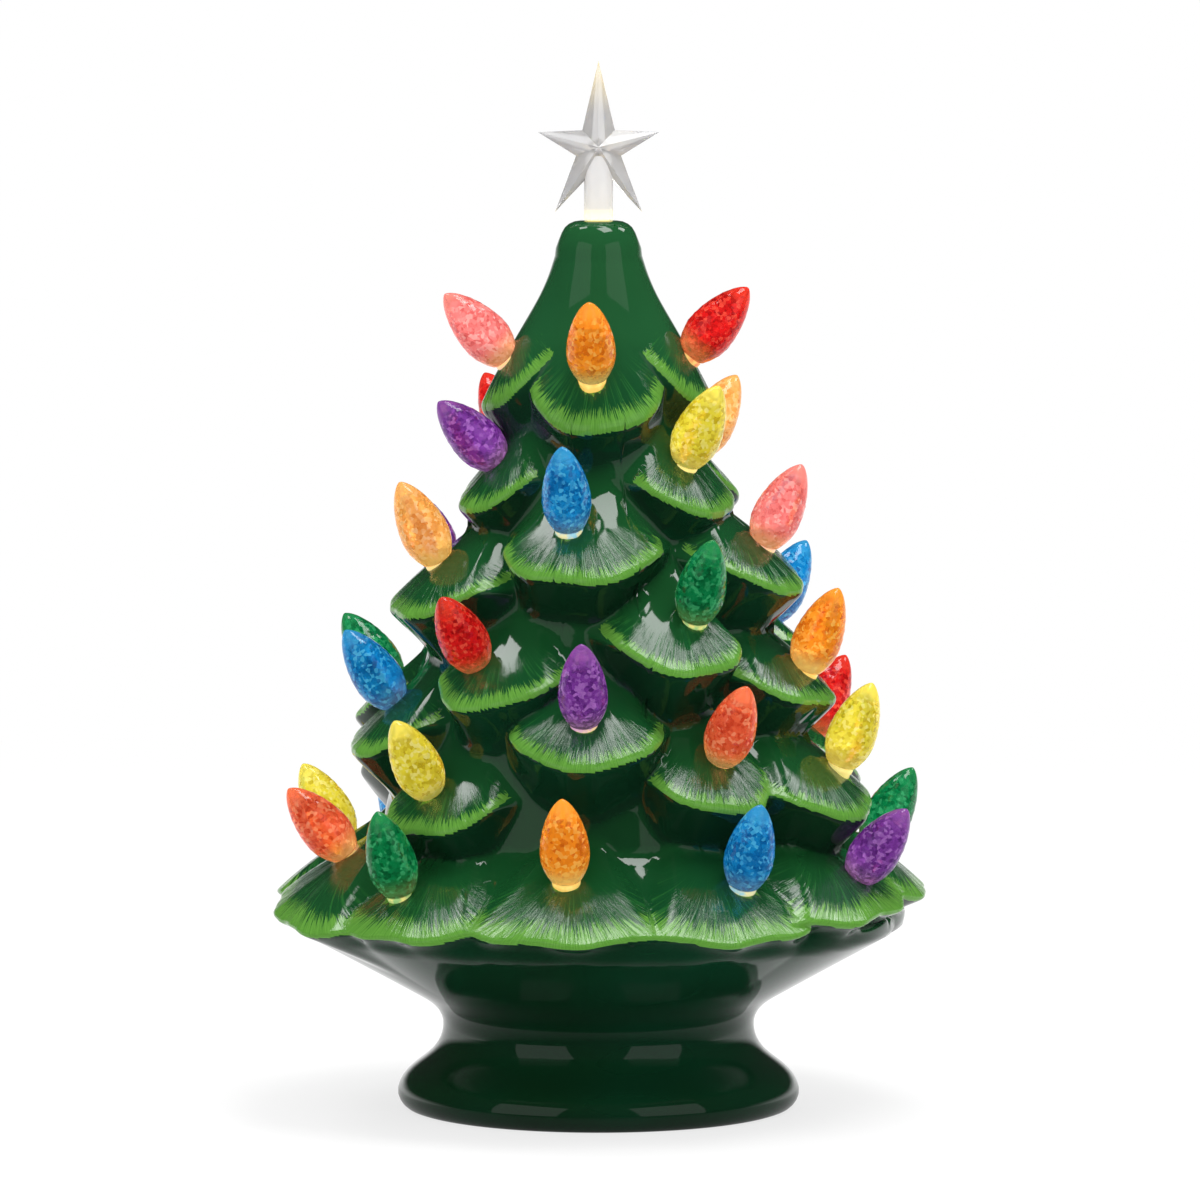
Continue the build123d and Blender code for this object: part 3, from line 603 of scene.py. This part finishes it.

# %% [markdown]
# The plastic is seen lit from inside. Each colour has a light, a middle and a deep tone, broken up into
# flecks of painted glint and shade by small cells, as light breaks up in the facets. A little emission
# stands for the lamp's light. Its glow is painted in most at the foot of the warm colours and in the collar.

# %% Bulb finishes
BULB_TONES = {
    "orange": ((255, 196, 92), (250, 150, 34), (196, 92, 12)),
    "red": ((246, 92, 70), (222, 28, 28), (132, 6, 12)),
    "blue": ((90, 196, 238), (18, 138, 204), (4, 80, 146)),
    "pink": ((255, 186, 178), (246, 134, 130), (206, 84, 82)),
    "purple": ((186, 122, 208), (130, 60, 160), (74, 26, 104)),
    "yellow": ((252, 244, 150), (240, 224, 66), (184, 160, 20)),
    "peach": ((255, 214, 150), (252, 184, 96), (214, 134, 48)),
    "green": ((64, 178, 116), (10, 132, 74), (2, 78, 42)),
    "coral": ((255, 162, 120), (242, 104, 66), (190, 52, 26)),
}
LAMP_TONE = (255, 228, 132)
LAMP_SHARE = {"orange": 0.8, "coral": 0.55, "peach": 0.6, "yellow": 0.5, "pink": 0.45, "red": 0.3}
LAMP_SHARE_COOL = 0.12
FLECK_SCALE = 820.0


def bulb_finish(colour):
    finish = Finish("bulb_" + colour)
    light, middle, deep = (rgb(*tone) for tone in BULB_TONES[colour])
    where = finish.place()
    flecks = {"Vector": where, "Scale": FLECK_SCALE}
    cells = finish.node("ShaderNodeTexVoronoi", {"feature": "F1"}, flecks, "Color")
    cell = finish.node("ShaderNodeSeparateColor", None, {"Color": cells})
    along = finish.attribute("along")
    flecked = 1 - along.step(0.80, 0.92)
    cloud = finish.noise(where, 150.0, 2.0)
    tone = finish.blend(cloud.step(0.48, 0.70) * 0.55, middle, deep)
    # Painted shade and glints: the flecks turn some cells deep and some light.
    tone = finish.blend((1 - cell).step(0.55, 1.0) * flecked * 0.75, tone, deep)
    tone = finish.blend(cell.step(0.62, 0.95) * flecked * 0.8, tone, light)
    tone = finish.blend(along.step(0.72, 0.95) * 0.35, tone, light)
    lamp = LAMP_SHARE.get(colour, LAMP_SHARE_COOL)
    tone = finish.blend((1 - along.step(0.02, 0.30)) * lamp, tone, rgb(*LAMP_TONE))
    finish.set(Base_Color=tone, Emission_Color=tone, Emission_Strength=0.2, Roughness=0.08, IOR=1.45)
    finish.set(Transmission_Weight=0.65)
    return finish.material


def collar_finish(colour):
    """The clear foot of a bulb, where the lamp's warm light shows most."""
    finish = Finish("bulb_collar_" + colour)
    patches = finish.noise(finish.place(), 420.0).step(0.35, 0.65)
    warm = finish.blend(0.25 + patches * 0.5, rgb(*BULB_TONES[colour][0]), rgb(*LAMP_TONE))
    finish.set(Base_Color=warm, Emission_Color=warm, Emission_Strength=0.3, Roughness=0.12, IOR=1.49)
    return finish.material


bulb_finishes = {colour: bulb_finish(colour) for colour in BULB_TONES}
collars = {colour: collar_finish(colour) for colour in BULB_TONES}
for name in bulb_nodes:
    body, colour = name[:7], name.split("_")[2]
    bulb_mesh = make_bulb()
    bmesh.ops.transform(bulb_mesh, matrix=bulb_places[name], verts=bulb_mesh.verts)
    bulb = add_piece("lit_" + name, bulb_mesh)
    bulb.data.materials.append(bulb_finishes[colour])
    bulb.data.materials.append(collars[colour])
    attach(bulb, body)
    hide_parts(name)
    "bulb_" + colour
print("bulb finishes:", sorted(bulb_finishes))

# %% [markdown]
# ## Holes for the bulbs
#
# The bulbs pull out, so the glazed wall needs real holes. A cylinder stands in each seat, and one boolean
# takes them all out of the shell.

# %% Cut the holes
HOLE_RADIUS = 4.5
HOLE_DEPTH = 12.0
HOLE_OUTSIDE = 6.0
HOLE_SIDES = 24

drill = bmesh.new()
drilled = {"from_rim": FAR_FROM_RIM, "fan": 0.0, "bare": 1.0, "facing_up": 0.0}
drill_layers = {name: drill.verts.layers.float.new(name) for name in drilled}
drill_bit = {
    "cap_ends": True,
    "segments": HOLE_SIDES,
    "radius1": HOLE_RADIUS * MM,
    "radius2": HOLE_RADIUS * MM,
    "depth": (HOLE_DEPTH + HOLE_OUTSIDE) * MM,
}
for place in bulb_places.values():
    half_way = Matrix.Translation((0, 0, (HOLE_OUTSIDE - HOLE_DEPTH) / 2 * MM))
    bmesh.ops.create_cone(drill, matrix=place @ half_way, **drill_bit)
for vert in drill.verts:
    for name, layer in drill_layers.items():
        vert[layer] = drilled[name]
cutter = add_piece("drill", drill)
cut = tree.modifiers.new("bulb_holes", "BOOLEAN")
cut.object = cutter
cut.operation = "DIFFERENCE"
cut.solver = "EXACT"
bpy.context.view_layer.objects.active = tree
bpy.ops.object.modifier_apply(modifier=cut.name)
bpy.data.objects.remove(cutter)
print("glazed tree triangles:", sum(len(face.vertices) - 2 for face in tree.data.polygons))

# %% [markdown]
# ## Glaze and painted rims
#
# A deep green glaze lies over the whole tree. Painted shade makes it darker on the undersides and the bowl,
# and a painted highlight makes it lighter at the tip. On every rim a light green is brushed on: a solid
# edge, then strokes that fan up the branch and break off unevenly. Both follow the attributes that came with
# the shape. The inside and the ring that it stands on are bare, pale clay.

# %% Where the light green is brushed on, in millimetres from the rim
SOLID_EDGE = (2.2, 3.6)
STROKES_END = (11.0, 15.0)
STREAKS_END = (8.0, 26.0)
BRUSH_MARKS_END = (6.0, 24.0)
STROKE_LOSS = 0.048
STROKE_START = 2.0

glaze = Finish("green_glaze")
where = glaze.place()
from_rim = glaze.attribute("from_rim")
along_fan = glaze.attribute("fan")
facing_up = glaze.attribute("facing_up")
bare = glaze.attribute("bare")
stroke_place = glaze.node("ShaderNodeCombineXYZ", None, {0: along_fan * 2.4, 1: from_rim * 0.11, 2: 0.0})
strokes = glaze.noise(stroke_place, 1.0, 3.0, 0.65)
band = 1 - from_rim.step(*SOLID_EDGE)
brushed = (strokes - (from_rim - STROKE_START) * STROKE_LOSS - 0.27).step(0.0, 0.10)
painted = band.math("MAXIMUM", band, brushed * (1 - from_rim.step(*STROKES_END)))
streak_place = glaze.node("ShaderNodeCombineXYZ", None, {0: along_fan * 0.9, 1: from_rim * 0.05, 2: 7.0})
streaks = glaze.noise(streak_place, 1.0, 3.0, 0.6).step(0.5, 0.66) * (1 - from_rim.step(*STREAKS_END))
brushed_on = (1 - from_rim.step(*BRUSH_MARKS_END)) * facing_up.step(0.15, 0.4)
brush_marks = glaze.bump((strokes + streaks) * brushed_on, 0.22, 0.0004)
print("nodes that place the paint:", len(glaze.tree.nodes))

# %% The colours of the glaze, the paint and the clay
pooled = glaze.noise(where, 14.0, 2.0)
level = glaze.axis(where, "Z")
# Painted light and shade: the glaze is lighter where it faces up, darker where it faces down and on the
# bowl.
painted_light_and_shade = facing_up.step(-0.2, 0.6) * (0.15 + 0.85 * level.step(0.03, 0.07))
green = glaze.blend(painted_light_and_shade, rgb(10, 38, 21), rgb(20, 72, 34))
# Painted highlight: the glaze turns lighter towards the tip.
green = glaze.blend(level.step(0.235, 0.27) * 0.7, green, rgb(34, 88, 48))
green = glaze.blend(pooled.step(0.35, 0.75) * 0.35, green, rgb(10, 60, 40))
green = glaze.blend(streaks * 0.6, green, rgb(44, 110, 48))
rim_green = glaze.blend(strokes.step(0.3, 0.7), rgb(76, 130, 46), rgb(100, 156, 62))
glazed = glaze.blend(painted * 0.94, green, rim_green)
clay = glaze.blend(glaze.noise(where, 90.0, 4.0).step(0.3, 0.7), rgb(214, 204, 186), rgb(228, 220, 204))
glaze.set(Base_Color=glaze.blend(bare, glazed, clay), Roughness=0.05 + bare * 0.7)
glaze.set(IOR=1.5, Normal=brush_marks)
tree.data.materials.append(glaze.material)
print("glaze nodes:", len(glaze.tree.nodes))

# %% [markdown]
# ## Star
#
# The star is clear moulded plastic, so light passes through it and bends at its ridges. The lamp under it
# warms the foot of the peg and the tip.

# %% Clear star
PEG_GLOW = (0.3015, 0.3065)
TIP_GLOW = (0.336, 0.354)

clear = Finish("clear_plastic")
where = clear.place()
height = clear.axis(where, "Z")
at_foot = 1 - height.step(*PEG_GLOW)
at_tip = height.step(*TIP_GLOW)
glow = clear.blend(at_tip, rgb(0, 0, 0), rgb(120, 104, 52))
glow = clear.blend(at_foot, glow, rgb(255, 226, 120))
haze = clear.blend(clear.noise(where, 60.0).step(0.3, 0.7), rgb(226, 226, 228), rgb(240, 238, 236))
clear.set(Base_Color=haze, Emission_Color=glow, Emission_Strength=1.0, Roughness=0.08, IOR=1.46)
clear.set(Transmission_Weight=0.6)


def dress(node, finish):
    """Gives a node of the construction model its finish."""
    mesh = frame["nodes"][node].data
    mesh.materials.clear()
    mesh.materials.append(finish.material)


dress("star_topper", clear)
print("star nodes:", len(clear.tree.nodes))

# %% [markdown]
# ## The battery base and the lamps inside
#
# These pieces are plain mouldings and small hardware, so they keep the construction model's own shape. Each
# has a mottled tone and a fine grain, because even a plain moulding is never one flat colour.

# %% Finishes of the base


def moulded(name, tone, other, roughness, scale=80.0, grain=0.12, metallic=0.0):
    finish = Finish(name)
    where = finish.place()
    mottle = finish.noise(where, scale, 4.0)
    rough_grain = finish.bump(finish.noise(where, 2600.0, 3.0), grain, 0.0002)
    finish.set(Base_Color=finish.blend(mottle.step(0.3, 0.7), tone, other))
    finish.set(Roughness=roughness + mottle * 0.1, Metallic=metallic, Normal=rough_grain)
    return finish


base = moulded("base_plastic", rgb(44, 82, 54), rgb(38, 72, 47), 0.42)
steel = moulded("screw_steel", rgb(200, 200, 202), rgb(172, 172, 176), 0.25, 900.0, 0.05, 1.0)
slide = moulded("switch_plastic", rgb(46, 46, 48), rgb(36, 36, 38), 0.4)
contact = moulded("contact_metal", rgb(216, 214, 206), rgb(190, 188, 180), 0.2, 700.0, 0.04, 1.0)
dress("base_plate", base)
dress("battery_door", base)
dress("door_screw", steel)
dress("plate_screws", steel)
dress("switch_body", slide)
dress("switch_slider", slide)
dress("mounting_ring", moulded("ring_plastic", rgb(224, 223, 216), rgb(210, 209, 202), 0.45))
dress("rubber_feet", moulded("foot_rubber", rgb(46, 46, 46), rgb(34, 34, 34), 0.75, 200.0, 0.3))
dress("battery_contacts", contact)
dress("circuit_board", moulded("board", rgb(30, 124, 70), rgb(22, 104, 58), 0.3, 300.0, 0.05))
dress("led_mast", moulded("mast_plastic", rgb(236, 236, 230), rgb(224, 224, 218), 0.4))

# %% Finishes that follow a place on the piece: two-tone cells, a red and a black lead, glowing lamps
COPPER_END = (0.0150, 0.0152)

cells = moulded("cell_wrap", rgb(62, 62, 66), rgb(52, 52, 56), 0.3)
copper_end = cells.axis(cells.place(), "X").step(*COPPER_END)
cells.set(Base_Color=cells.blend(copper_end, rgb(58, 58, 62), rgb(186, 120, 66)), Metallic=0.7)
dress("batteries", cells)

leads = moulded("lead_cover", rgb(190, 40, 36), rgb(170, 30, 28), 0.5)
lead_side = leads.axis(leads.place(), "X")
leads.set(Base_Color=leads.blend(lead_side > 0.0, rgb(40, 40, 42), rgb(186, 36, 32)))
dress("lead_wires", leads)

lamp = moulded("lamp_lens", rgb(255, 246, 222), rgb(255, 236, 196), 0.12)
lamp.set(Emission_Color=lamp.blend(lamp.noise(lamp.place(), 800.0), rgb(255, 220, 150), rgb(255, 238, 196)))
lamp.set(Emission_Strength=0.8)
dress("leds", lamp)
print("dressed nodes:", sum(bool(node.data.materials) for node in frame["nodes"].values()))

# %% [markdown]
# ## Stage, light and camera
#
# The floor and the surroundings are white to the camera, and the floor keeps the tree's shadow. A glossy
# glaze shows what stands round it, so what it mirrors is set apart: dark in front, bright behind, which
# draws the light edges on the bowl and the foot. Softboxes overhead leave their patches on the branches.

# %% Pale floor
FLOOR_SIZE = 4.0
FLOOR_FADE = (0.15, 1.2)
FLOOR_BEHIND = (-0.15, 0.15)
WHITE = (1, 1, 1, 1)
DIM = 0.03
BRIGHT = 0.93


def grey(level):
    return (level, level, level, 1.0)


floor_mesh = bmesh.new()
bmesh.ops.create_grid(floor_mesh, x_segments=1, y_segments=1, size=FLOOR_SIZE)
floor = add_piece("floor", floor_mesh)
pale = Finish("pale_floor")
pale.set(Base_Color=grey(0.9), Roughness=0.9, Specular_IOR_Level=0.0)
away = pale.node("ShaderNodeVectorMath", {"operation": "LENGTH"}, {0: pale.place()}, "Value")
faded = 0.72 + 0.28 * away.step(*FLOOR_FADE)
camera_ray = pale.node("ShaderNodeLightPath", output="Is Camera Ray")
white = pale.node("ShaderNodeEmission", None, {"Color": WHITE, "Strength": 1.0})
lit = Wire(pale, pale.skin.outputs[0])
shown = pale.node("ShaderNodeMixShader", None, {0: camera_ray * faded, 1: lit, 2: white})
glossy_ray = pale.node("ShaderNodeLightPath", output="Is Glossy Ray")
floor_behind = pale.axis(pale.place(), "Y").step(*FLOOR_BEHIND)
floor_tone = pale.blend(floor_behind, grey(DIM), grey(BRIGHT))
mirrored = pale.node("ShaderNodeEmission", None, {"Color": floor_tone, "Strength": 1.0})
shown = pale.node("ShaderNodeMixShader", None, {0: glossy_ray, 1: shown, 2: mirrored})
pale.tree.links.new(shown.socket, pale.tree.nodes["Material Output"].inputs["Surface"])
floor.data.materials.append(pale.material)
print("floor nodes:", len(pale.tree.nodes))

# %% Surroundings


class World(Finish):
    """The surroundings, wired like a finish."""

    def __init__(self, name):
        self.world = bpy.data.worlds.new(name)
        self.world.use_nodes = True
        self.tree = self.world.node_tree
        self.skin = self.tree.nodes["Background"]


studio = World("studio")
bpy.context.scene.world = studio.world
rays = ("Is Camera Ray", "Is Glossy Ray", "Is Transmission Ray")
by_camera, by_gloss, by_plastic = (studio.node("ShaderNodeLightPath", output=ray) for ray in rays)
heading = studio.node("ShaderNodeTexCoord", output="Generated")
level = studio.axis(heading, "Z")
depth = studio.axis(heading, "Y")
behind = depth.step(-0.05, 0.6) * (1 - level.step(-0.02, 0.16))
above = level.step(-0.3, 0.9)
through = 0.5 + 0.5 * depth.math("ABSOLUTE", depth).step(0.0, 0.8)
seen = by_camera + by_gloss * (DIM + 0.97 * behind) + by_plastic * through
spread = (1 - by_camera - by_gloss - by_plastic) * (0.45 + 0.7 * above)
studio.set(Color=WHITE, Strength=seen + spread)
print("surroundings nodes:", len(studio.tree.nodes))

# %% Softboxes, in metres and watts
MIDDLE_OF_TREE = (0, 0, 0.18)


def softbox(name, place, width, height, power):
    lamp = bpy.data.lights.new(name, "AREA")
    lamp.shape = "RECTANGLE"
    lamp.size, lamp.size_y, lamp.energy = width, height, power
    holder = bpy.data.objects.new(name, lamp)
    holder.location = place
    holder.rotation_euler = (Vector(MIDDLE_OF_TREE) - Vector(place)).to_track_quat("-Z", "Y").to_euler()
    bpy.context.scene.collection.objects.link(holder)


softbox("overhead", (0.30, -0.28, 1.5), width=0.55, height=0.6, power=7.5)
softbox("top_left", (-0.62, 0.20, 1.5), width=0.32, height=0.36, power=2.6)
softbox("top_back", (0.12, 0.26, 1.5), width=0.28, height=0.30, power=2)
softbox("top_right", (1.00, 0.45, 1.4), width=0.36, height=0.40, power=3)
softbox("left_front", (-1.4, -1.5, 0.8), width=1.6, height=1.6, power=4)
softbox("right_front", (1.4, -1.5, 0.8), width=1.6, height=1.6, power=4)
print("softboxes:", len(bpy.data.lights))

# %% Camera at the photograph's angle
CAMERA_AWAY = 3.0
CAMERA_RISE = math.radians(8.4)
CAMERA_AIM = (0.0005, 0, 0.173)
LENS = 266
SENSOR_WIDTH = 36

bpy.context.scene.view_settings.view_transform = "Standard"
camera_data = bpy.data.cameras.new("camera")
camera_data.lens = LENS
camera_data.sensor_width = SENSOR_WIDTH
camera = bpy.data.objects.new("camera", camera_data)
camera.location = (0, -CAMERA_AWAY, CAMERA_AWAY * math.tan(CAMERA_RISE))
camera.rotation_euler = (Vector(CAMERA_AIM) - camera.location).to_track_quat("-Z", "Y").to_euler()
bpy.context.scene.collection.objects.link(camera)
bpy.context.scene.camera = camera
print("camera:", [round(value, 3) for value in camera.location])
